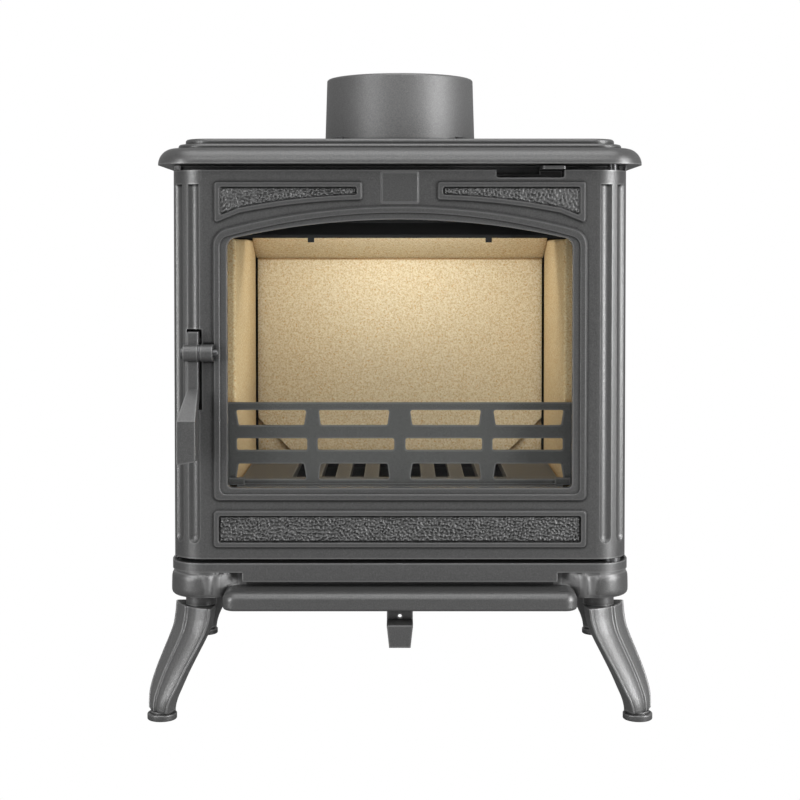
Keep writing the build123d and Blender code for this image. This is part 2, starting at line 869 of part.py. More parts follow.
def make_baffle():
    """The sloping board that turns the smoke forwards before the flue."""
    y1 = liner_y
    y0 = y1 - baffle_run
    slope = math.atan2(baffle_rise, baffle_run)
    lift = baffle_t / math.cos(slope)
    points = [(y1, baffle_low), (y1, baffle_low + lift), (y0, baffle_low + lift + baffle_rise),
              (y0, baffle_low + baffle_rise)]
    return side_prism(points, -baffle_half, baffle_half)


def make_baffle_bar():
    """The round bar under the front end of the baffle."""
    slope = math.atan2(baffle_rise, baffle_run)
    y = liner_y - baffle_run + 20
    under = baffle_low + baffle_rise * (baffle_run - 20) / baffle_run
    z = under - (baffle_bar_r + 0.05) / math.cos(slope)
    return rod(baffle_bar_r, (-inner_half, y, z), (inner_half, y, z))


def make_deflector():
    """A bent sheet behind the frame that turns the wash air down over the glass."""
    y0 = jamb_back_y
    t = sheet_t
    out = deflector_out
    z0, z1 = deflector_low, plate_under - deflector_top_in
    bend = z0 + deflector_lip
    points = [(y0, z1), (y0 + out, z1), (y0 + out, bend), (y0 + t, z0), (y0, z0), (y0, z0 + t),
              (y0 + out - t, bend + t), (y0 + out - t, z1 - t), (y0, z1 - t)]
    sheet = side_prism(points, -mouth_half + 1, mouth_half - 1)
    for x in (-deflector_tab_x, deflector_tab_x):
        sheet += block(x - t, x + t, y0, y0 + t, z0 - deflector_tab_h, z0 + soft_gap)
    return sheet


# Fire bars

def bar_gap(row, x, low_half, high_half):
    """One opening of the fire bars, as a face on the front plane."""
    low, high = row
    points = [(x - low_half, low), (x + low_half, low), (x + high_half, high), (x - high_half, high)]
    face = make_face(Polyline(*points, close=True))
    return fillet(face.vertices(), bars_gap_r)


def bar_gaps():
    """Every opening: the top and bottom rows taper towards the middle row."""
    gaps = []
    for side in (-1, 1):
        for x, narrow, wide in (bars_inner_gap, bars_outer_gap):
            gaps.append(bar_gap(bars_top_row, side * x, narrow, wide))
            gaps.append(bar_gap(bars_low_row, side * x, wide, narrow))
        for x, half in (bars_mid_inner_gap, bars_mid_outer_gap):
            gaps.append(bar_gap(bars_mid_row, side * x, half, half))
    return gaps


def make_fire_bars():
    """The pierced guard that holds the fuel back from the glass."""
    y0 = front_y + bars_front
    bars = block(-bars_half, bars_half, y0, y0 + bars_t, grate_top, bars_top)
    for gap in bar_gaps():
        bars -= front_prism(gap, y0 - 1, y0 + bars_t + 1)
    bars += block(-grate_half, grate_half, y0 + bars_t, y0 + bars_foot, grate_top, grate_top + bars_foot_t)
    for side in (-1, 1):
        x0, x1 = sorted((side * bars_toe_x, side * (bars_toe_x - bars_toe_w)))
        bars += block(x0, x1, y0 - bars_toe_out, y0, grate_top, grate_top + bars_toe_h)
    return bars


# Ash pan

def make_ash_pan():
    """A folded tray with a front lip to lift it by."""
    y0 = front_y + pan_front
    y1 = front_y + pan_back
    pan_top = base_top + pan_h
    pan = block(-pan_half, pan_half, y0, y1, base_top, pan_top)
    pan -= block(-pan_half + pan_t, pan_half - pan_t, y0 + pan_t, y1 - pan_t, base_top + pan_t, pan_top + 1)
    lip = block(-pan_half, pan_half, y0, y0 + pan_lip, pan_top - pan_t, pan_top)
    lip -= block(-pan_lug_half, pan_lug_half, y0 + pan_t + 2, y0 + pan_lip + 1, pan_top - pan_t - 1, pan_top + 1)
    return pan + lip


# Primary air

def make_draw_bar():
    """The primary air slider: a plate under the base, bent down and out to a pull."""
    z1 = base_floor - float_gap
    z0 = z1 - draw_t
    y_plate = front_y + inlet_back - draw_overlap
    plate = block(-draw_plate_half, draw_plate_half, y_plate, y_plate + draw_plate_d, z0, z1)
    neck = y_plate - draw_neck
    step = front_y - draw_step_out
    points = [
        (y_plate + 1, z1), (neck, z1), (neck, draw_run_z), (step, draw_run_z), (step, draw_ledge_z),
        (nose_y, draw_ledge_z), (nose_y, draw_tip_z), (nose_y + draw_t, draw_tip_z),
        (nose_y + draw_t, draw_ledge_z - draw_t), (step + draw_t, draw_ledge_z - draw_t),
        (step + draw_t, draw_run_z - draw_t), (neck + draw_t, draw_run_z - draw_t),
        (neck + draw_t, z0), (y_plate + 1, z0),
    ]
    strip = side_prism(points, -draw_half, draw_half)
    for side in (-1, 1):
        taper = [(side * draw_half, draw_ledge_z), (side * draw_tip_half, draw_tip_z - 1),
                 (side * (draw_half + 2), draw_tip_z - 1)]
        strip -= front_prism(make_face(Polyline(*taper, close=True)), nose_y - 1, nose_y + draw_t + 1)
    hole_z = draw_ledge_z + 3
    strip -= rod(draw_hole_r, (0, step - 1, hole_z), (0, step + draw_t + 1, hole_z))
    return plate + strip


def make_runners():
    """Two rails under the base that carry the primary air slider."""
    runners = []
    y0 = front_y + inlet_back - draw_travel - 2 * draw_overlap
    y1 = front_y + inlet_back + draw_plate_d + draw_overlap
    z1 = base_floor
    z0 = z1 - draw_t - 3 * float_gap
    for side in (-1, 1):
        edge = side * (draw_plate_half + float_gap)
        outer = side * (draw_plate_half + runner_w)
        inner = side * (draw_plate_half - 5)
        x0, x1 = sorted((edge, outer))
        wall = block(x0, x1, y0, y1, z0, z1)
        x0, x1 = sorted((inner, outer))
        runners.append(wall + block(x0, x1, y0, y1, z0 - 2.5, z0))
    return runners


# Air wash slider

def make_air_slider():
    """The air-wash shutter: a slotted plate on the frame, with an arm over the door to its tab."""
    y1 = frame_y - float_gap
    y0 = y1 - air_plate_t
    z0 = air_slot_z - air_cover_h / 2
    z1 = air_slot_z + air_cover_h / 2
    end = air_slot_centres()[0] - air_slot_w / 2 - air_cover_h / 2
    plate = block(end, air_tab_right, y0, y1, z0, z1)
    for x in air_slot_centres():
        slot = Pos(x, air_slot_z) * SlotOverall(air_slot_w, air_slot_h)
        plate -= front_prism(slot, y0 - 1, y1 + 1)
    tab_z0 = door_high + 3 * float_gap
    tab_z1 = tab_z0 + air_plate_t
    x0 = air_tab_right - air_tab_w
    arm = block(x0, air_tab_right, front_y - air_tab_out, y1, tab_z0, tab_z1)
    riser = block(x0, air_tab_right, y0, y1, z0, tab_z0)
    return [plate + riser, fillet(arm.edges().filter_by(Axis.Z).group_by(Axis.Y)[0], 2)]


def make_air_guides():
    """Small hooks on the frame that hold the air-wash shutter against it."""
    guides = []
    z0 = air_slot_z - air_cover_h / 2
    y_face = frame_y - air_plate_t - 2 * float_gap
    for x in air_guide_places:
        foot = block(x - 6, x + 6, y_face - 1.5, frame_y, z0 - 3.2, z0 - float_gap)
        hook = block(x - 6, x + 6, y_face - 1.5, y_face, z0 - 3.2, z0 + 3)
        guides.append(foot + hook)
    return guides


# Door

def high_panel_outline():
    """The outer outline of the left upper panel, with the arch along its foot."""
    mid_x, mid_z = high_panel_mid
    bend_x, bend_z = high_panel_bend
    foot = ThreePointArc((-high_panel_inner, high_panel_inner_bottom), (-mid_x, mid_z), (-bend_x, bend_z))
    tail = Line((-bend_x, bend_z), (-high_panel_outer, high_panel_outer_bottom))
    rest = Polyline((-high_panel_outer, high_panel_outer_bottom), (-high_panel_outer, high_panel_top),
                    (-high_panel_inner, high_panel_top), (-high_panel_inner, high_panel_inner_bottom))
    face = make_face(foot + tail + rest)
    corners = [v for v in face.vertices() if abs(v.X + bend_x) > 1]
    return fillet(corners, high_panel_r)


def low_panel_outline():
    middle = (low_panel_bottom + low_panel_top) / 2
    return Pos(0, middle) * RectangleRounded(2 * low_panel_half, low_panel_top - low_panel_bottom, low_panel_r)


def framed_panel(casting, outline):
    """Adds a raised border along an outline and sinks the field inside it."""
    field = offset(outline, -border_w, kind=Kind.INTERSECTION)
    field = fillet(field.vertices(), field_r)
    casting += raised(outline, front_y, border_proud, outer_slope)
    casting -= sunk(field, front_y - border_proud, border_proud + field_sink, inner_slope)
    return casting


def door_shell():
    """The door's plate with its rounded corners and short side returns."""
    z0, z1 = door_low, door_high
    shell = plan_prism(casing_w, casing_d, corner_r, z0, z1)
    inner_w = casing_w - 2 * door_corner_t
    shell -= plan_prism(inner_w, casing_d - 2 * door_t, corner_r - door_corner_t, z0 - 1, z1 + 1)
    return shell & block(-casing_w, casing_w, front_y - 1, front_y + door_return, z0, z1)


def flutes():
    """The upright grooves in both rounded corners."""
    cutters = []
    reach = corner_r - flute_depth + flute_r
    for side in (-1, 1):
        for angle in flute_angles:
            a = math.radians(angle)
            x = side * (corner_x + reach * math.sin(a))
            y = front_y + corner_r - reach * math.cos(a)
            low, high = flute_low + flute_r, flute_high
            cutters.append(rod(flute_r, (x, y, low), (x, y, high)))
            cutters.append(Pos(x, y, low) * Sphere(flute_r))
    return cutters


def rope_path_face(width):
    """The rope's run as a flat ring of the given width, on the front plane."""
    middle = Pos(0, (rope_low + rope_high) / 2)
    half, tall = rope_half, (rope_high - rope_low) / 2
    outer = RectangleRounded(2 * half + width, 2 * tall + width, rope_corner_r + width / 2)
    inner = RectangleRounded(2 * half - width, 2 * tall - width, rope_corner_r - width / 2)
    return middle * (outer - inner)


def window_outline(grow=0.0):
    return arch_outline(window_half + grow, window_sill - grow, window_spring + grow,
                        window_crown + grow, window_low_r, window_high_r)


def make_door():
    door = door_shell()
    surround = arch_outline(frame_half, frame_sill, frame_spring(), frame_crown, frame_low_r, frame_high_r)
    inner = arch_outline(frame_half - frame_lip, frame_sill + frame_lip, frame_spring() - frame_lip,
                         frame_crown - frame_lip, frame_low_r, frame_high_r - frame_lip)
    door += raised(surround, front_y, frame_proud, outer_slope)
    door -= sunk(inner, front_y - frame_proud, frame_step, outer_slope)
    door = framed_panel(door, high_panel_outline())
    door = framed_panel(door, mirror(high_panel_outline(), Plane.YZ))
    door = framed_panel(door, low_panel_outline())
    door += front_prism(rope_path_face(land_w), front_y + door_t - 1, front_y + land_depth)
    door -= front_prism(rope_path_face(groove_w), front_y + land_depth - groove_depth, front_y + land_depth + 1)
    door -= front_prism(window_outline(), front_y - 10, front_y + door_t + 1)
    plaque = block(-plaque_half, plaque_half, front_y - 1, front_y + plaque_sink, plaque_bottom, plaque_top)
    door -= plaque
    for cutter in flutes():
        door -= cutter
    door -= block(-slot_left, -slot_right, front_y - 5, front_y + land_depth, slot_low, slot_high)
    notch = block(notch_low_x, notch_high_x, front_y - 5, front_y + door_t + 1, door_high - notch_depth, door_high + 1)
    notch = fillet(notch.edges().filter_by(Axis.Y).group_by(Axis.Z)[0], notch_r)
    door -= notch
    barrel = rod(barrel_r, (-lug_left, pivot_y, pivot_z), (-lug_right, pivot_y, pivot_z))
    barrel += block(-lug_left, -lug_right, pivot_y, front_y + 1, pivot_z - barrel_r, pivot_z + barrel_r)
    barrel -= rod(latch_pin_r, (-lug_left, pivot_y, pivot_z), (-lug_right, pivot_y, pivot_z))
    door += barrel
    for z0, z1 in ((door_low, door_low + lug_h), (door_high - lug_h, door_high)):
        door += rod(lug_r, (hinge_x, hinge_y, z0), (hinge_x, hinge_y, z1)) & door_corner(z0, z1)
    for z0, z1 in ((door_low - 1, door_low + lug_h + 1), (door_high - lug_h - 1, door_high + 1)):
        door -= rod(pin_r + run_gap, (hinge_x, hinge_y, z0), (hinge_x, hinge_y, z1))
    for x, z in clip_screw_places():
        door -= rod(screw_r, (x, front_y + 3, z), (x, front_y + door_t + 1, z))
    return door


def door_corner(z0, z1):
    """The space inside the casing's outline, between two heights."""
    return plan_prism(casing_w, casing_d, corner_r, z0, z1)


def make_plaque():
    plaque = block(-plaque_half, plaque_half, front_y + plaque_sink - plaque_t, front_y + plaque_sink,
                   plaque_bottom, plaque_top)
    return chamfer(plaque.faces().sort_by(Axis.Y)[0].edges(), 0.35)


def make_rope():
    """The round rope seal, pressed into the groove in the door's back."""
    y = front_y + frame_back - soft_gap - rope_r
    tall = rope_high - rope_low
    outline = Pos(0, (rope_low + rope_high) / 2) * RectangleRounded(2 * rope_half, tall, rope_corner_r)
    path = (Plane(origin=(0, y, 0), x_dir=(1, 0, 0), z_dir=(0, -1, 0)) * outline).wire()
    start = path @ 0
    section = Plane(origin=start, z_dir=path % 0) * Circle(rope_r)
    return sweep(section, path=path)


def glass_outline():
    size = (2 * glass_half, glass_high - glass_low)
    return Pos(0, (glass_low + glass_high) / 2) * RectangleRounded(*size, 3)


def make_gasket():
    ring = front_prism(glass_outline(), front_y + door_t, glass_y)
    return ring - front_prism(window_outline(1.0), front_y + door_t - 1, glass_y + 1)


def make_glass():
    return front_prism(glass_outline(), glass_y, glass_y + glass_t)


def clip_screw_places():
    low = glass_low - screw_head_r - 0.6
    high = glass_high + screw_head_r + 0.6
    return [(x, z) for z in (low, high) for x in (-clip_x, clip_x)]


def make_clips():
    """Four stepped clips that hold the glass to the door."""
    clips = []
    y_face = front_y + door_t
    y_top = glass_y + glass_t
    for x, z in clip_screw_places():
        inward = 1 if z < glass_low else -1
        edge = glass_low if inward > 0 else glass_high
        z0, z1 = sorted((z - inward * screw_head_r, edge + inward * clip_bite))
        clip = block(x - clip_w / 2, x + clip_w / 2, y_top, y_top + clip_t, z0, z1)
        z0, z1 = sorted((z - inward * screw_head_r, edge - inward * 0.4))
        clip += block(x - clip_w / 2, x + clip_w / 2, y_face, y_top, z0, z1)
        clip -= rod(screw_r, (x, y_face - 1, z), (x, y_top + clip_t + 1, z))
        clips.append(clip)
    return clips


def make_clip_screws():
    screws = []
    y_top = glass_y + glass_t + clip_t
    for x, z in clip_screw_places():
        shank = rod(screw_r, (x, front_y + 3, z), (x, y_top, z))
        head = rod(screw_head_r, (x, y_top, z), (x, y_top + screw_head_h, z))
        screws.append(shank + head)
    return screws


# Hinge

def make_hinge_pin_low():
    """The pin in the base, with the collar that carries the door."""
    z0 = base_top - pin_in_base
    pin = rod(pin_r, (hinge_x, hinge_y, z0), (hinge_x, hinge_y, door_low + pin_in_door))
    collar_z = door_low - float_gap
    return pin + rod(hinge_washer_r, (hinge_x, hinge_y, base_top), (hinge_x, hinge_y, collar_z))


def make_hinge_pin_high():
    z1 = plate_under + pin_in_plate
    return rod(pin_r, (hinge_x, hinge_y, door_high - pin_in_door), (hinge_x, hinge_y, z1))


# Latch

def make_lever():
    """The latch: a knuckle, a flat arm, a tongue through the door and a forward grip."""
    lever = rod(barrel_r, (-knuckle_left, pivot_y, pivot_z), (-knuckle_right, pivot_y, pivot_z))
    arm = block(-arm_left, -arm_right, pivot_y - 1, pivot_y + arm_back, arm_low, arm_top)
    lever += arm
    top = Plane.XY.offset(arm_low) * Pos(-(arm_left + arm_right) / 2, pivot_y - 1 + (arm_back + 1) / 2)
    top = top * Rectangle(arm_left - arm_right, arm_back + 1)
    front = casing_y - grip_front
    middle = (-(grip_left + grip_right) / 2, front + grip_depth / 2)
    low = Plane.XY.offset(grip_top) * Pos(*middle) * Rectangle(grip_left - grip_right, grip_depth)
    lever += loft([top, low])
    grip = block(-grip_left, -grip_right, front, front + grip_depth, grip_low, grip_top)
    slant = [(-grip_left, grip_low - 1), (-grip_right, grip_low - 1), (-grip_right, grip_low + 3),
             (-grip_left, grip_low)]
    grip -= front_prism(make_face(Polyline(*slant, close=True)), front - 1, front + grip_depth + 1)
    lever += grip
    lever += block(-arm_left, -arm_right, pivot_y + arm_back, tongue_y, tongue_low, tongue_top)
    lever += block(-arm_left, -arm_right, tongue_y - tongue_tip, tongue_y, tongue_top, tongue_top + tongue_rise)
    lever -= rod(latch_pin_r + run_gap, (-knuckle_left - 1, pivot_y, pivot_z), (-arm_right + 2, pivot_y, pivot_z))
    return lever


def make_latch_pin():
    """The pivot pin, fixed in the door's lug, with a head at the left and a dome at the right."""
    pin = rod(latch_pin_r, (-knuckle_left, pivot_y, pivot_z), (-pin_end, pivot_y, pivot_z))
    pin += rod(latch_pin_r + 2, (-knuckle_left - 2, pivot_y, pivot_z), (-knuckle_left - float_gap, pivot_y, pivot_z))
    pin += rod(latch_pin_r, (-knuckle_left - 1, pivot_y, pivot_z), (-knuckle_left, pivot_y, pivot_z))
    return chamfer(pin.edges().group_by(Axis.X)[-1], 1)


def make_latch_washer():
    ring = rod(barrel_r + 0.2, (-washer_left, pivot_y, pivot_z), (-washer_right, pivot_y, pivot_z))
    return ring - rod(latch_pin_r, (-washer_left - 1, pivot_y, pivot_z), (-washer_right + 1, pivot_y, pivot_z))


def make_catch():
    """The catch on the frame: a plate, a cheek and the pin over the latch's tongue, welded together."""
    z_pin = tongue_top + tongue_rise + catch_gap + catch_pin_r
    x0 = -arm_left - 1.2 - catch_cheek_t
    y_pin = frame_y - 12
    plate = block(x0, -arm_right, frame_y - catch_plate_t, frame_y, z_pin - 8, z_pin + 14)
    cheek_end = x0 + catch_cheek_t
    cheek = block(x0, cheek_end, y_pin - 5, frame_y - catch_plate_t, z_pin - 6, z_pin + 10)
    pin = rod(catch_pin_r, (cheek_end, y_pin, z_pin), (-arm_right - 0.5, y_pin, z_pin))
    return [plate, cheek, pin]


# Tie rods

def make_tie_rods():
    """Four long bolts that clamp the side panels between the base and the top plate."""
    return [rod(tie_r, (x, y, base_top), (x, y, plate_under)) for x, y in tie_places()]


def tie_places():
    across = inner_half - tie_in
    return [(x, y) for x in (-across, across) for y in (jamb_back_y + 16, inner_back_y - 10)]


def build():
    """Every node of the stove, by name."""
    nodes = {}
    nodes["base_casting"] = make_base()
    nodes["ash_shelf"] = make_shelf()
    nodes["shelf_bolts"] = make_shelf_bolts()
    leg, pad, bolt = make_leg(), make_foot_pad(), make_leg_bolt()
    for name, x, y, angle in corner_places():
        nodes["leg_" + name] = at_corner(leg, x, y, angle)
        nodes["foot_pad_" + name] = at_corner(pad, x, y, angle)
    nodes["leg_bolts"] = [at_corner(bolt, x, y, angle) for name, x, y, angle in corner_places()]
    nodes["top_plate"] = make_top_plate()
    nodes["flue_collar"] = make_collar()
    nodes["collar_ring"] = make_collar_ring()
    nodes["collar_bolts"] = make_collar_bolts()
    left = make_side_panel()
    nodes["side_panel_left"] = left
    nodes["side_panel_right"] = mirrored(left)
    nodes["rear_panel"] = make_rear_panel()
    nodes["rear_blanking_plate"] = make_rear_blank()
    nodes["blanking_plate_bolts"] = make_blank_bolts()
    nodes["front_frame"] = make_front_frame()
    nodes["frame_screws"] = make_frame_screws()
    nodes["tie_rods"] = make_tie_rods()
    nodes["firebox_floor"] = make_floor()
    cheek = make_cheek()
    nodes["ash_chamber_left"] = cheek
    nodes["ash_chamber_right"] = mirrored(cheek)
    nodes["rear_liner"] = make_rear_liner()
    nodes["grate"] = make_grate()
    nodes["fire_bars"] = make_fire_bars()
    nodes["ash_pan"] = make_ash_pan()
    brick, corner = make_side_brick(), make_corner_brick()
    nodes["side_brick_left"] = brick
    nodes["side_brick_right"] = mirrored(brick)
    nodes["back_brick"] = make_back_brick()
    nodes["corner_brick_left"] = corner
    nodes["corner_brick_right"] = mirrored(corner)
    nodes["baffle_board"] = make_baffle()
    nodes["baffle_bar"] = make_baffle_bar()
    nodes["air_wash_deflector"] = make_deflector()
    nodes["air_slider_guides"] = make_air_guides()
    nodes["air_wash_slider"] = make_air_slider()
    nodes["primary_air_slider"] = make_draw_bar()
    nodes["primary_air_runners"] = make_runners()
    nodes["latch_catch"] = make_catch()
    nodes["hinge_pin_lower"] = make_hinge_pin_low()
    nodes["hinge_pin_upper"] = make_hinge_pin_high()
    nodes["door_casting"] = make_door()
    nodes["door_plaque"] = make_plaque()
    nodes["door_rope_seal"] = make_rope()
    nodes["door_glass"] = make_glass()
    nodes["glass_gasket"] = make_gasket()
    nodes["glass_clips"] = make_clips()
    nodes["glass_clip_screws"] = make_clip_screws()
    nodes["latch_lever"] = make_lever()
    nodes["latch_pivot_pin"] = make_latch_pin()
    nodes["latch_washer"] = make_latch_washer()
    return nodes


def write(nodes):
    os.makedirs("parts", exist_ok=True)
    for name, shape in nodes.items():
        if isinstance(shape, list):
            shape = Compound(children=shape)
        export_step(shape, f"parts/{name}.step")


if __name__ == "__main__":
    write(build())
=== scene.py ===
import bpy
import json
import math
import numpy as np
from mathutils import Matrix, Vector


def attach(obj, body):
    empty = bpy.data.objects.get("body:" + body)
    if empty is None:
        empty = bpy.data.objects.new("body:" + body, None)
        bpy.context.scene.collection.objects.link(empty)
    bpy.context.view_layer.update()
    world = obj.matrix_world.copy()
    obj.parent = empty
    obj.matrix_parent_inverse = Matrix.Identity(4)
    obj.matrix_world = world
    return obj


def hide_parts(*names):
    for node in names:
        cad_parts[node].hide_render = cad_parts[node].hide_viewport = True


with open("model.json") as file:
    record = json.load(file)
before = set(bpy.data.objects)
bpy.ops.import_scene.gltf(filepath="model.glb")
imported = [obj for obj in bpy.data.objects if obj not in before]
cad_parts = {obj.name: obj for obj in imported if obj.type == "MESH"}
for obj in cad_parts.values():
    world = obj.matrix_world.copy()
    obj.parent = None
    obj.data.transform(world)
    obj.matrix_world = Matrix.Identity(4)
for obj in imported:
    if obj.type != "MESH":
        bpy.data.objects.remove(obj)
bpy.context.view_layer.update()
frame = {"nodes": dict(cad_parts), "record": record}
node = frame["nodes"]

MM = 0.001
WHITE = (1.0, 1.0, 1.0, 1.0)


# Materials. Lengths are in metres here, and texture scales are per metre.

FLECK_SCALE = 1500.0
GRAIN_SCALE = 900.0
SHEEN_SCALE = 700.0
SHEEN_SPREAD = 0.06
PIT_DEPTH = 0.00018
EDGE_HIGHLIGHT_REACH = 0.0016

# Painted shade in creases: reach, openness where it is darkest, openness where it ends, and its
# darkness.
OPEN_CREASE_SHADE = (0.004, 0.45, 0.95, 0.25)
DOOR_CREASE_SHADE = (0.003, 0.72, 0.975, 0.06)


def grey(level):
    return (level, level, level, 1.0)


def add(tree, kind, **values):
    """A node, with attributes set by name and inputs set by their label."""
    made = tree.nodes.new(kind)
    for key, value in values.items():
        if hasattr(made, key) and key not in made.inputs:
            setattr(made, key, value)
        else:
            made.inputs[key.replace("_", " ")].default_value = value
    return made


def new_material(name):
    """An empty material: itself, its tree and its output."""
    mat = bpy.data.materials.new(name)
    mat.use_nodes = True
    tree = mat.node_tree
    tree.nodes.clear()
    return mat, tree, add(tree, "ShaderNodeOutputMaterial")


def principled(name, **values):
    """A material with one principled shader: itself, its tree and the shader."""
    mat, tree, out = new_material(name)
    shader = add(tree, "ShaderNodeBsdfPrincipled", **values)
    tree.links.new(shader.outputs["BSDF"], out.inputs["Surface"])
    return mat, tree, shader


def place(tree):
    """The place in the shared frame: every object sits at its origin."""
    return add(tree, "ShaderNodeTexCoord").outputs["Object"]


def noise(tree, scale, detail=2.0, rough=0.5):
    made = add(tree, "ShaderNodeTexNoise", Scale=scale, Detail=detail, Roughness=rough)
    tree.links.new(place(tree), made.inputs["Vector"])
    return made.outputs["Fac"]


def cells(tree, scale):
    """A random colour for each cell."""
    made = add(tree, "ShaderNodeTexVoronoi", Scale=scale)
    tree.links.new(place(tree), made.inputs["Vector"])
    return made.outputs["Color"]


def ramp(tree, fac, stops):
    """Colours or grey levels at the given places, straight between them."""
    made = add(tree, "ShaderNodeValToRGB")
    elements = made.color_ramp.elements
    while len(elements) < len(stops):
        elements.new(0.5)
    for element, (at, shade) in zip(elements, stops):
        element.position = at
        element.color = (*shade, 1.0) if isinstance(shade, tuple) else grey(shade)
    tree.links.new(fac, made.inputs["Fac"])
    return made.outputs["Color"]


def mix(tree, fac, a, b, blend="MIX"):
    """Two colours mixed; each value is a socket or a constant."""
    made = add(tree, "ShaderNodeMix", data_type="RGBA", blend_type=blend)
    for socket, value in ((made.inputs[0], fac), (made.inputs[6], a), (made.inputs[7], b)):
        if hasattr(value, "is_linked"):
            tree.links.new(value, socket)
        else:
            socket.default_value = value
    return made.outputs[2]


def bump(tree, height, strength, distance, normal=None):
    made = add(tree, "ShaderNodeBump", Strength=strength, Distance=distance)
    tree.links.new(height, made.inputs["Height"])
    if normal is not None:
        tree.links.new(normal, made.inputs["Normal"])
    return made.outputs["Normal"]


def soft_edges(tree, radius):
    return add(tree, "ShaderNodeBevel", samples=6, Radius=radius).outputs["Normal"]


def shelter(tree, reach, inside=False):
    """How open a surface is: 1 in the open, lower in creases, or on edges if from inside."""
    made = add(tree, "ShaderNodeAmbientOcclusion", samples=8, inside=inside, Distance=reach)
    return made.outputs["AO"]


def iron_paint(name, shade, metallic, rough, edge, grain, edge_highlight=True, crease_shade=OPEN_CREASE_SHADE):
    """Stove paint on a casting: dark and satin, with painted shade in its creases and a painted
    highlight along its edges.
    """
    mat, tree, shader = principled(name, Metallic=metallic)
    spark = ramp(tree, cells(tree, FLECK_SCALE), [(0.80, 0.0), (0.99, 0.5)])
    base = ramp(tree, noise(tree, GRAIN_SCALE, 3.0),
                [(0.35, shade * 0.88), (0.65, shade * 1.12)])
    tone = mix(tree, spark, base, grey(shade * 1.8))
    reach, shut, clear, dark = crease_shade
    # Painted shade: the colour is darkened in creases, where less light gets in.
    painted_crease_shade = ramp(tree, shelter(tree, reach), [(shut, dark), (clear, 1.0)])
    tone = mix(tree, 1.0, tone, painted_crease_shade, "MULTIPLY")
    # Painted highlight: the colour is lightened along convex edges, where light catches them.
    if edge_highlight:
        painted_edge_highlight = ramp(tree, shelter(tree, EDGE_HIGHLIGHT_REACH, True), [(0.80, 1.0), (0.97, 0.0)])
        tone = mix(tree, painted_edge_highlight, tone, grey(shade * 1.7))
    tree.links.new(tone, shader.inputs["Base Color"])
    sheen = ramp(tree, noise(tree, SHEEN_SCALE),
                 [(0.3, rough - SHEEN_SPREAD), (0.7, rough + SHEEN_SPREAD)])
    tree.links.new(sheen, shader.inputs["Roughness"])
    rounded = soft_edges(tree, edge)
    pits = bump(tree, noise(tree, GRAIN_SCALE, 3.0, 0.6), grain, PIT_DEPTH, rounded)
    tree.links.new(pits, shader.inputs["Normal"])
    return mat


def board(name, painted_shade=(1.0, 1.0, 1.0)):
    """Pressed vermiculite: pale sand, with fine orange and pale flakes."""
    mat, tree, shader = principled(name, Roughness=0.9, Specular_IOR_Level=0.15)
    tone = ramp(tree, noise(tree, 560.0, 3.0, 0.6),
                [(0.34, (0.62, 0.47, 0.27)), (0.5, (0.77, 0.65, 0.43)),
                 (0.66, (0.86, 0.77, 0.58))])
    orange = ramp(tree, cells(tree, 640.0), [(0.78, 0.0), (0.92, 0.7)])
    tone = mix(tree, orange, tone, (0.62, 0.36, 0.13, 1.0))
    pale = ramp(tree, cells(tree, 760.0), [(0.82, 0.0), (0.95, 0.6)])
    tone = mix(tree, pale, tone, (0.93, 0.88, 0.74, 1.0))
    # Painted shade: darker brown in creases, and the whole board multiplied by the given painted
    # shade.
    crease_shade = ramp(tree, shelter(tree, 0.02), [(0.2, (0.50, 0.36, 0.22)), (0.8, painted_shade)])
    tone = mix(tree, 1.0, tone, crease_shade, "MULTIPLY")
    tree.links.new(tone, shader.inputs["Base Color"])
    rounded = soft_edges(tree, 0.001)
    rough = bump(tree, noise(tree, 700.0, 4.0, 0.7), 0.25, 0.0003, rounded)
    tree.links.new(rough, shader.inputs["Normal"])
    return mat


def clear_glass(name, reflection=0.012):
    """Thin flat glass: clear to look through, with a faint reflection."""
    mat, tree, out = new_material(name)
    see = add(tree, "ShaderNodeBsdfTransparent", Color=(0.96, 0.965, 0.96, 1.0))
    shine = add(tree, "ShaderNodeBsdfGlossy", Roughness=0.02, Color=WHITE)
    both = add(tree, "ShaderNodeMixShader")
    both.inputs[0].default_value = reflection
    tree.links.new(see.outputs[0], both.inputs[1])
    tree.links.new(shine.outputs[0], both.inputs[2])
    tree.links.new(both.outputs[0], out.inputs["Surface"])
    return mat


def knitted(name):
    """Dark knitted glass rope."""
    mat, tree, shader = principled(name, Roughness=0.95)
    weave = add(tree, "ShaderNodeTexWave", wave_type="BANDS", bands_direction="DIAGONAL",
                Scale=260.0, Distortion=1.5)
    tree.links.new(place(tree), weave.inputs["Vector"])
    threads = weave.outputs["Fac"]
    tone = ramp(tree, threads, [(0.2, 0.05), (0.8, 0.16)])
    tree.links.new(tone, shader.inputs["Base Color"])
    tree.links.new(bump(tree, threads, 0.8, 0.0006), shader.inputs["Normal"])
    return mat


def bare_metal(name, shade, metallic, rough, edge=0.0004):
    """Sheet steel and fixings: smooth, a trace bluer than grey, with softened edges."""
    mat, tree, shader = principled(name, Base_Color=(shade, shade, shade * 1.02, 1.0),
                                   Metallic=metallic, Roughness=rough)
    tree.links.new(soft_edges(tree, edge), shader.inputs["Normal"])
    return mat
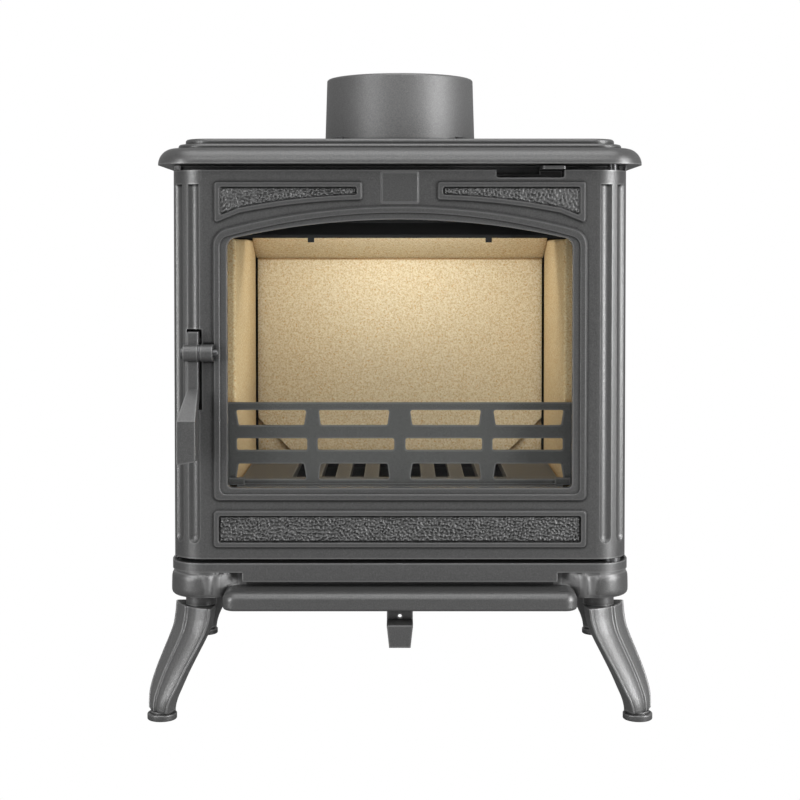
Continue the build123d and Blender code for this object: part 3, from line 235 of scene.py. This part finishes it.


# These are all one stove paint. The collar and legs get lighter copies as painted light, and the
# door and its hammered fields get darker copies as painted shade.
paint = iron_paint(
    "stove_paint_look", shade=0.115, metallic=0.6, rough=0.38, edge=0.0009, grain=0.35)
shaded_panel_paint = iron_paint(
    "shaded_panel_paint_look", shade=0.105, metallic=0.6, rough=0.38, edge=0.0003, grain=0.4,
    crease_shade=DOOR_CREASE_SHADE)
lit_collar_paint = iron_paint(
    "lit_collar_paint_look", shade=0.15, metallic=0.6, rough=0.52, edge=0.0009, grain=0.6)
lit_leg_paint = iron_paint(
    "lit_leg_paint_look", shade=0.145, metallic=0.6, rough=0.44, edge=0.0006, grain=0.6)
shaded_field_paint = iron_paint(
    "shaded_field_paint_look", shade=0.10, metallic=0.5, rough=0.42, edge=0.0001, grain=0.3,
    edge_highlight=False)
raw = iron_paint(
    "raw_iron_look", shade=0.085, metallic=0.4, rough=0.6, edge=0.0007, grain=0.9)
sheet = bare_metal("sheet_steel_look", shade=0.03, metallic=0.3, rough=0.55)
fixing = bare_metal("fixings_look", shade=0.12, metallic=0.8, rough=0.35)
vermiculite = board("vermiculite_look")
# The side bricks get a darker copy of the same board, as painted shade.
shaded_side_board = board("shaded_side_vermiculite_look", painted_shade=(0.70, 0.64, 0.55))
glass = clear_glass("glass_look")
rope = knitted("rope_look")

looks = {
    "stove_paint": paint, "raw_iron": raw, "sheet_steel": sheet, "fixings": fixing,
    "vermiculite": vermiculite, "glass": glass, "rope": rope,
}
special = {
    "door_casting": shaded_panel_paint, "door_plaque": shaded_panel_paint, "flue_collar": lit_collar_paint,
    "side_brick_left": shaded_side_board, "side_brick_right": shaded_side_board,
}
for entry in frame["record"]["subparts"]:
    obj = node[entry["node"]]
    obj.data.materials.clear()
    look = special.get(entry["node"], looks[entry["material_slot"]])
    obj.data.materials.append(look)


# Pieces over the CAD. Lengths are in millimetres from here, as in the part's source.

def mesh_object(name, points, faces, mat, smooth=True):
    """An object from points in metres."""
    mesh = bpy.data.meshes.new(name)
    mesh.from_pydata([tuple(p) for p in points], [], [tuple(f) for f in faces])
    mesh.update()
    if smooth:
        mesh.polygons.foreach_set("use_smooth", [True] * len(mesh.polygons))
    obj = bpy.data.objects.new(name, mesh)
    bpy.context.scene.collection.objects.link(obj)
    mesh.materials.append(mat)
    return obj


def skin(rings, count):
    """Faces round a tube of closed rings with the same count of points, open at both ends."""
    faces = []
    for r in range(rings - 1):
        for k in range(count):
            a, b = r * count + k, r * count + (k + 1) % count
            faces.append((a, b, b + count, a + count))
    return faces


# Hammered fields in the door's three panels

FRONT_Y = -149.5
FIELD_SINK, FIELD_CLEAR = 0.8, 0.12
FIELD_STEP, FIELD_RELIEF, FIELD_FADE = 0.5, 1.7, 1.0
WAVES = 160
WAVE_LENGTHS = (2.2, 4.6)
WAVE_GAIN = 0.30
HIGH_FIELD = (40.2, 164.8)
HIGH_TOP = 486.1
HIGH_FOOT = [(39.0, 480.4), (60.0, 479.5), (102.0, 475.6), (135.0, 470.5), (150.0, 467.2),
             (165.0, 461.5)]
LOW_FIELD = 165.0
LOW_TOP = 185.0
LOW_FOOT = [(0.0, 162.3)]


def lumps(x, z, seed):
    """Hammered relief: many fine waves laid over each other, from 0 to 1."""
    rng = np.random.default_rng(seed)
    height = np.zeros_like(x)
    for _ in range(WAVES):
        turn = rng.uniform(0, math.pi)
        length = rng.uniform(*WAVE_LENGTHS)
        shift = rng.uniform(0, 2 * math.pi)
        across = x * math.cos(turn) + z * math.sin(turn)
        height += np.cos(across * 2 * math.pi / length + shift)
    return np.clip(0.5 + WAVE_GAIN * height / math.sqrt(WAVES / 2), 0, 1)


def foot_at(knots, x):
    """The lower edge of a field, given by knots of distance from the middle and height."""
    return np.interp(np.abs(x), [k[0] for k in knots], [k[1] for k in knots])


def hammered(name, x0, x1, foot, top, seed):
    """A field of hammered relief between two edges, following the curve of its foot."""
    columns = int((x1 - x0) / FIELD_STEP) + 1
    rows = int((top - foot_at(foot, (x0 + x1) / 2)) / FIELD_STEP) + 1
    x = np.linspace(x0, x1, columns)[None, :].repeat(rows, 0)
    share = np.linspace(0, 1, rows)[:, None].repeat(columns, 1)
    base = foot_at(foot, x)
    z = base + share * (top - base)
    edge = np.minimum(np.minimum(x - x0, x1 - x), np.minimum(z - base, top - z))
    fade = np.clip(edge / FIELD_FADE, 0, 1)
    y = FRONT_Y + FIELD_SINK - FIELD_CLEAR - FIELD_RELIEF * lumps(x, z, seed) * fade
    points = np.stack([x, y, z], -1).reshape(-1, 3) * MM
    faces = []
    for r in range(rows - 1):
        for c in range(columns - 1):
            a = r * columns + c
            faces.append((a, a + 1, a + columns + 1, a + columns))
    field = mesh_object(name, points, faces, shaded_field_paint)
    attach(field, "door")


hammered("hammered_left", -HIGH_FIELD[1], -HIGH_FIELD[0], HIGH_FOOT, HIGH_TOP, seed=3)
hammered("hammered_right", HIGH_FIELD[0], HIGH_FIELD[1], HIGH_FOOT, HIGH_TOP, seed=4)
hammered("hammered_low", -LOW_FIELD, LOW_FIELD, LOW_FOOT, LOW_TOP, seed=5)


# Legs: a crowned face with beads and grooves, tapered sides and a rounded back

# Height, then the reach of the face's side edges and the half width there
LEG_EDGE = [(8.0, 55.2), (14.0, 54.6), (21.3, 52.6), (26.7, 50.2), (42.1, 42.3), (56.3, 33.7),
            (69.5, 25.5), (77.9, 20.8), (87.0, 17.7), (100.0, 15.7)]
LEG_HALF = [(8.0, 14.0), (14.0, 15.4), (21.3, 17.4), (26.7, 18.9), (42.1, 21.2), (56.3, 22.9),
            (69.5, 24.4), (77.9, 25.4), (87.0, 26.8), (100.0, 27.4)]
# Share of the half width, then the relief there
LEG_RELIEF = [(0.0, 1.1), (0.04, 0.9), (0.08, -0.4), (0.12, -0.9), (0.18, -0.6), (0.30, -0.2),
              (0.50, 0.1), (0.70, -0.1), (0.82, -0.5), (0.875, -0.9), (0.92, 0.4),
              (0.96, 1.0), (1.0, 0.3)]
LEG_FOOT, LEG_TOP = 8.0, 100.0
LEG_HEIGHTS = np.concatenate([[7.9], np.linspace(8.4, 99.2, 60), [99.7, LEG_TOP]])
LEG_WIDE = 26.0
LEG_ROUND = 0.6
FACE_CROWN, FACE_POINTS = 0.32, 121
SIDE_IN, SIDE_DEPTH, SIDE_TAPER = 0.4, 13.1, 0.4
BACK_DEPTH, BACK_CROWN, BACK_HALF = 13.5, 3.0, 0.6
BOX_WIDTH, BOX_DEPTH = 231.4, 189.4
CORNER_X, CASING_Y, CORNER_Y = 180.0, 11.5, 131.0
SPLAY = math.atan2(33.5, 38.0)


def curve_through(knots, at):
    """A smooth curve through knots given as (place, value), with level-headed slopes."""
    x = np.array([k[0] for k in knots], float)
    y = np.array([k[1] for k in knots], float)
    step = np.diff(y) / np.diff(x)
    run = np.diff(x)
    inner = (step[1:] * run[:-1] + step[:-1] * run[1:]) / (run[:-1] + run[1:])
    slope = np.concatenate([[step[0]], inner, [step[-1]]])
    i = np.clip(np.searchsorted(x, at) - 1, 0, len(x) - 2)
    h = x[i + 1] - x[i]
    t = (at - x[i]) / h
    return ((1 + 2 * t) * (1 - t) ** 2 * y[i] + t * (1 - t) ** 2 * h * slope[i]
            + t * t * (3 - 2 * t) * y[i + 1] + t * t * (t - 1) * h * slope[i + 1])


def within(value, limit):
    return min(max(value, -limit), limit)


def leg_ring(z):
    """Outline of a leg at one height, in the leg's own frame: outwards, then sideways."""
    edge, half = curve_through(LEG_EDGE, z), curve_through(LEG_HALF, z)
    across = np.linspace(-1, 1, FACE_POINTS)
    relief = np.interp(np.abs(across), [k[0] for k in LEG_RELIEF], [k[1] for k in LEG_RELIEF])
    fullness = 0.55 + 0.45 * half / LEG_WIDE
    out = edge + FACE_CROWN * half * (1 - across**2) + relief * fullness
    side = [(edge - SIDE_IN - SIDE_DEPTH * share, half * (1 - SIDE_TAPER * share))
            for share in np.linspace(0.06, 1, 10)]
    back = [(edge - BACK_DEPTH - BACK_CROWN * (1 - turn**2), BACK_HALF * half * turn)
            for turn in np.linspace(-0.9, 0.9, 9)[::-1]]
    return list(zip(out, across * half)) + side + back + [(u, -v) for u, v in reversed(side)]


def make_leg(name, x, y, angle):
    """A leg that leans out at an angle from X, kept inside the CAD model's box."""
    points = []
    c, s = math.cos(angle), math.sin(angle)
    for z in LEG_HEIGHTS:
        shrink = LEG_ROUND if z in (LEG_HEIGHTS[0], LEG_HEIGHTS[-1]) else 0.0
        for u, v in leg_ring(min(max(z, LEG_FOOT), LEG_TOP)):
            u -= shrink
            v *= 1 - shrink / LEG_WIDE
            wide = within(x + u * c - v * s, BOX_WIDTH)
            deep = within(y + u * s + v * c, BOX_DEPTH)
            points.append((wide * MM, deep * MM, z * MM))
    count = len(points) // len(LEG_HEIGHTS)
    faces = skin(len(LEG_HEIGHTS), count)
    faces.append(tuple(reversed(range(count))))
    faces.append(tuple(range(len(points) - count, len(points))))
    leg = mesh_object(name, points, faces, lit_leg_paint)
    for face in list(leg.data.polygons)[-2:]:
        face.use_smooth = False
    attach(leg, "casing")
    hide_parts(name.replace("look_", ""))


make_leg("look_leg_front_left", -CORNER_X, CASING_Y - CORNER_Y, math.pi + SPLAY)
make_leg("look_leg_front_right", CORNER_X, CASING_Y - CORNER_Y, -SPLAY)
make_leg("look_leg_rear_left", -CORNER_X, CASING_Y + CORNER_Y, math.pi - SPLAY)
make_leg("look_leg_rear_right", CORNER_X, CASING_Y + CORNER_Y, SPLAY)


# Baffle board: level over the back brick, then sloping up to the front

BAFFLE_BACK, BAFFLE_SEAT, BAFFLE_FRONT = 133.5, 108.5, -24.5
BAFFLE_LOW, BAFFLE_RISE, BAFFLE_T = 421.0, 54.0, 23.0
BAFFLE_HALF = 153.6


def prism_across(name, outline, half, mat):
    """A prism along X from an outline of Y and Z places."""
    points = [(side * half * MM, y * MM, z * MM) for side in (-1, 1) for y, z in outline]
    count = len(outline)
    faces = [tuple(range(count)), tuple(reversed(range(count, 2 * count)))]
    for k in range(count):
        n = (k + 1) % count
        faces.append((n, k, k + count, n + count))
    return mesh_object(name, points, faces, mat, smooth=False)


baffle = prism_across("look_baffle", [
    (BAFFLE_BACK, BAFFLE_LOW), (BAFFLE_SEAT, BAFFLE_LOW),
    (BAFFLE_FRONT, BAFFLE_LOW + BAFFLE_RISE),
    (BAFFLE_FRONT, BAFFLE_LOW + BAFFLE_RISE + BAFFLE_T),
    (BAFFLE_SEAT, BAFFLE_LOW + BAFFLE_T), (BAFFLE_BACK, BAFFLE_LOW + BAFFLE_T),
], BAFFLE_HALF, vermiculite)
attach(baffle, "casing")
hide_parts("baffle_board")


# Lobes: rounded brackets over the front corners of the base

LOBE_X, LOBE_Y, LOBE_R = 212.6, 151.2, 30.0
LOBE_START_Y = -62.0
LOBE_DIP, LOBE_DIP_X, LOBE_DIP_RUN = 1.8, 176.5, 4.5
LOBE_TURN_X, LOBE_END_X, LOBE_FALL = 173.0, -143.0, 13.5
LOBE_SINK, LOBE_SINK_STEPS = 3.5, 8
LOBE_FLAT, LOBE_FLAT_RUN = 0.85, 14.0
LOBE_ROOT = -6.0
# Reach over the plan's line, then height
LOBE_PROFILE = [(LOBE_ROOT, 136.3), (-4.2, 134.2), (-2.6, 132.6), (-1.3, 131.0),
                (-0.5, 129.2), (-0.1, 127.2), (0.0, 125.0), (0.2, 117.0), (0.1, 113.6),
                (-0.5, 111.8), (-1.8, 110.5), (LOBE_ROOT, 109.9)]


def lobe_path():
    """Plan of the left front lobe's face, from the side round to the front."""
    places = [(-LOBE_X, y) for y in np.linspace(LOBE_START_Y, -LOBE_Y + LOBE_R, 12)]
    for turn in np.linspace(0, math.pi / 2, 25)[1:]:
        places.append((-LOBE_X + LOBE_R * (1 - math.cos(turn)),
                       -LOBE_Y + LOBE_R * (1 - math.sin(turn))))
    start = places[-1][0]
    for x in np.linspace(start, LOBE_END_X, 30)[1:]:
        dip = LOBE_DIP * math.exp(-((x + LOBE_DIP_X) / LOBE_DIP_RUN) ** 2)
        share = min(max((x + LOBE_TURN_X) / (LOBE_END_X + LOBE_TURN_X), 0.0), 1.0)
        places.append((x, -LOBE_Y + dip + LOBE_FALL * share * share * (3 - 2 * share)))
    return places


def make_lobe(name, side):
    """A rounded bracket over a front corner that runs out in a curve behind the shelf."""
    path = lobe_path()
    points = []
    for i, (x, y) in enumerate(path):
        before, after = path[max(i - 1, 0)], path[min(i + 1, len(path) - 1)]
        along = Vector((after[0] - before[0], after[1] - before[1])).normalized()
        sink = LOBE_SINK * (1 - min(i / LOBE_SINK_STEPS, 1.0))
        flat = min(max((x + LOBE_TURN_X) / LOBE_FLAT_RUN, 0.0), LOBE_FLAT)
        for out, z in LOBE_PROFILE:
            reach = out * (1 - flat if out > LOBE_ROOT else 1.0) - sink
            points.append((side * -(x + reach * along.y) * MM, (y - reach * along.x) * MM,
                           z * MM))
    count = len(LOBE_PROFILE)
    faces = skin(len(path), count)
    if side < 0:
        faces = [tuple(reversed(face)) for face in faces]
    faces.append(tuple(range(count)))
    faces.append(tuple(range(len(points) - 1, len(points) - count - 1, -1)))
    lobe = mesh_object(name, points, faces, paint)
    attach(lobe, "casing")


make_lobe("lobe_left", -1)
make_lobe("lobe_right", 1)


# Stage. Lengths are in metres from here.

FLOOR_HALF, FLOOR_Z = 6.0, -0.0003
FLOOR_SHADE = 0.30
WORLD_STRENGTH = 0.5
# Level of the world's light by direction, from the front at 0 to the back at 1
WORLD_LEVELS = [(0.0, 0.10), (0.2, 0.22), (0.5, 0.80), (1.0, 0.80)]
# The photo's frame in pixels: its side, its focal length, and the horizon over its middle
PHOTO_PX, FOCAL_PX, HORIZON_PX = 800, 1600, 149.5
LENS, SENSOR, SHIFT_DOWN = 72.0, 36.0, 0.13
EYE = (0.00012, -1.6095, 0.429)


def white_to_camera(tree, kind, lit, out):
    """The camera sees plain white, and everything else sees what is given."""
    white = add(tree, kind, Color=WHITE, Strength=1.0)
    ray = add(tree, "ShaderNodeLightPath")
    pick = add(tree, "ShaderNodeMixShader")
    tree.links.new(ray.outputs["Is Camera Ray"], pick.inputs[0])
    tree.links.new(lit.outputs[0], pick.inputs[1])
    tree.links.new(white.outputs[0], pick.inputs[2])
    tree.links.new(pick.outputs[0], out.inputs["Surface"])


floor_mat, tree, out = new_material("floor_look")
ground = add(tree, "ShaderNodeBsdfPrincipled", Base_Color=grey(FLOOR_SHADE), Roughness=0.9)
white_to_camera(tree, "ShaderNodeEmission", ground, out)
corners = [(-1, -1), (1, -1), (1, 1), (-1, 1)]
floor = mesh_object("floor", [(x * FLOOR_HALF, y * FLOOR_HALF, FLOOR_Z) for x, y in corners],
                    [(0, 1, 2, 3)], floor_mat, smooth=False)

scene = bpy.context.scene
world = bpy.data.worlds.new("studio")
scene.world = world
world.use_nodes = True
tree = world.node_tree
tree.nodes.clear()
out = add(tree, "ShaderNodeOutputWorld")
soft = add(tree, "ShaderNodeBackground", Strength=WORLD_STRENGTH)
around = add(tree, "ShaderNodeSeparateXYZ")
tree.links.new(add(tree, "ShaderNodeTexCoord").outputs["Generated"], around.inputs[0])
depth = add(tree, "ShaderNodeMapRange", From_Min=-1.0)
tree.links.new(around.outputs["Y"], depth.inputs["Value"])
tree.links.new(ramp(tree, depth.outputs[0], WORLD_LEVELS), soft.inputs["Color"])
white_to_camera(tree, "ShaderNodeBackground", soft, out)


def softbox(name, at, aim, size, power):
    """A rectangular lamp at a place, turned to what it lights."""
    data = bpy.data.lights.new(name, "AREA")
    data.shape = "RECTANGLE"
    data.size, data.size_y = size
    data.energy = power
    obj = bpy.data.objects.new(name, data)
    obj.location = at
    obj.rotation_euler = (Vector(aim) - Vector(at)).to_track_quat("-Z", "Y").to_euler()
    scene.collection.objects.link(obj)
    return obj


softbox("top_light", (0.0, -0.5, 2.4), (0.0, 0.0, 0.3), (2.0, 1.4), 22)
softbox("high_front_light", (0.0, -2.2, 2.1), (0.0, 0.0, 0.4), (2.2, 0.9), 18)
softbox("left_light", (-1.8, -1.9, 0.9), (0.0, -0.1, 0.3), (0.7, 1.6), 24)
softbox("right_light", (2.0, -1.1, 0.9), (0.0, -0.1, 0.3), (0.8, 1.8), 46)
softbox("low_left_light", (-1.5, -1.2, 0.25), (-0.2, -0.1, 0.08), (0.5, 0.4), 6)
softbox("low_right_light", (1.5, -1.2, 0.25), (0.2, -0.1, 0.08), (0.5, 0.4), 10)

# Two small lamps brighten the bricks from inside, and are never seen themselves
inner = [
    softbox("brick_light", (0.0, -0.100, 0.432), (0.0, 0.14, 0.30), (0.28, 0.03), 0.015),
    softbox("firebox_light", (0.0, -0.030, 0.440), (0.0, 0.14, 0.25), (0.20, 0.05), 0.30),
]
for lamp in inner:
    lamp.visible_camera = False
    lamp.visible_glossy = False

# The horizon's height over the middle comes from the shift first, and the tilt gives the rest
tilt = math.atan((HORIZON_PX - PHOTO_PX * SHIFT_DOWN) / FOCAL_PX)
camera = bpy.data.cameras.new("camera")
camera.lens = LENS
camera.sensor_width = SENSOR
camera.shift_y = -SHIFT_DOWN
camera_obj = bpy.data.objects.new("camera", camera)
camera_obj.location = EYE
camera_obj.rotation_euler = (math.pi / 2 - tilt, 0.0, 0.0)
scene.collection.objects.link(camera_obj)
scene.camera = camera_obj
scene.view_settings.view_transform = "Standard"
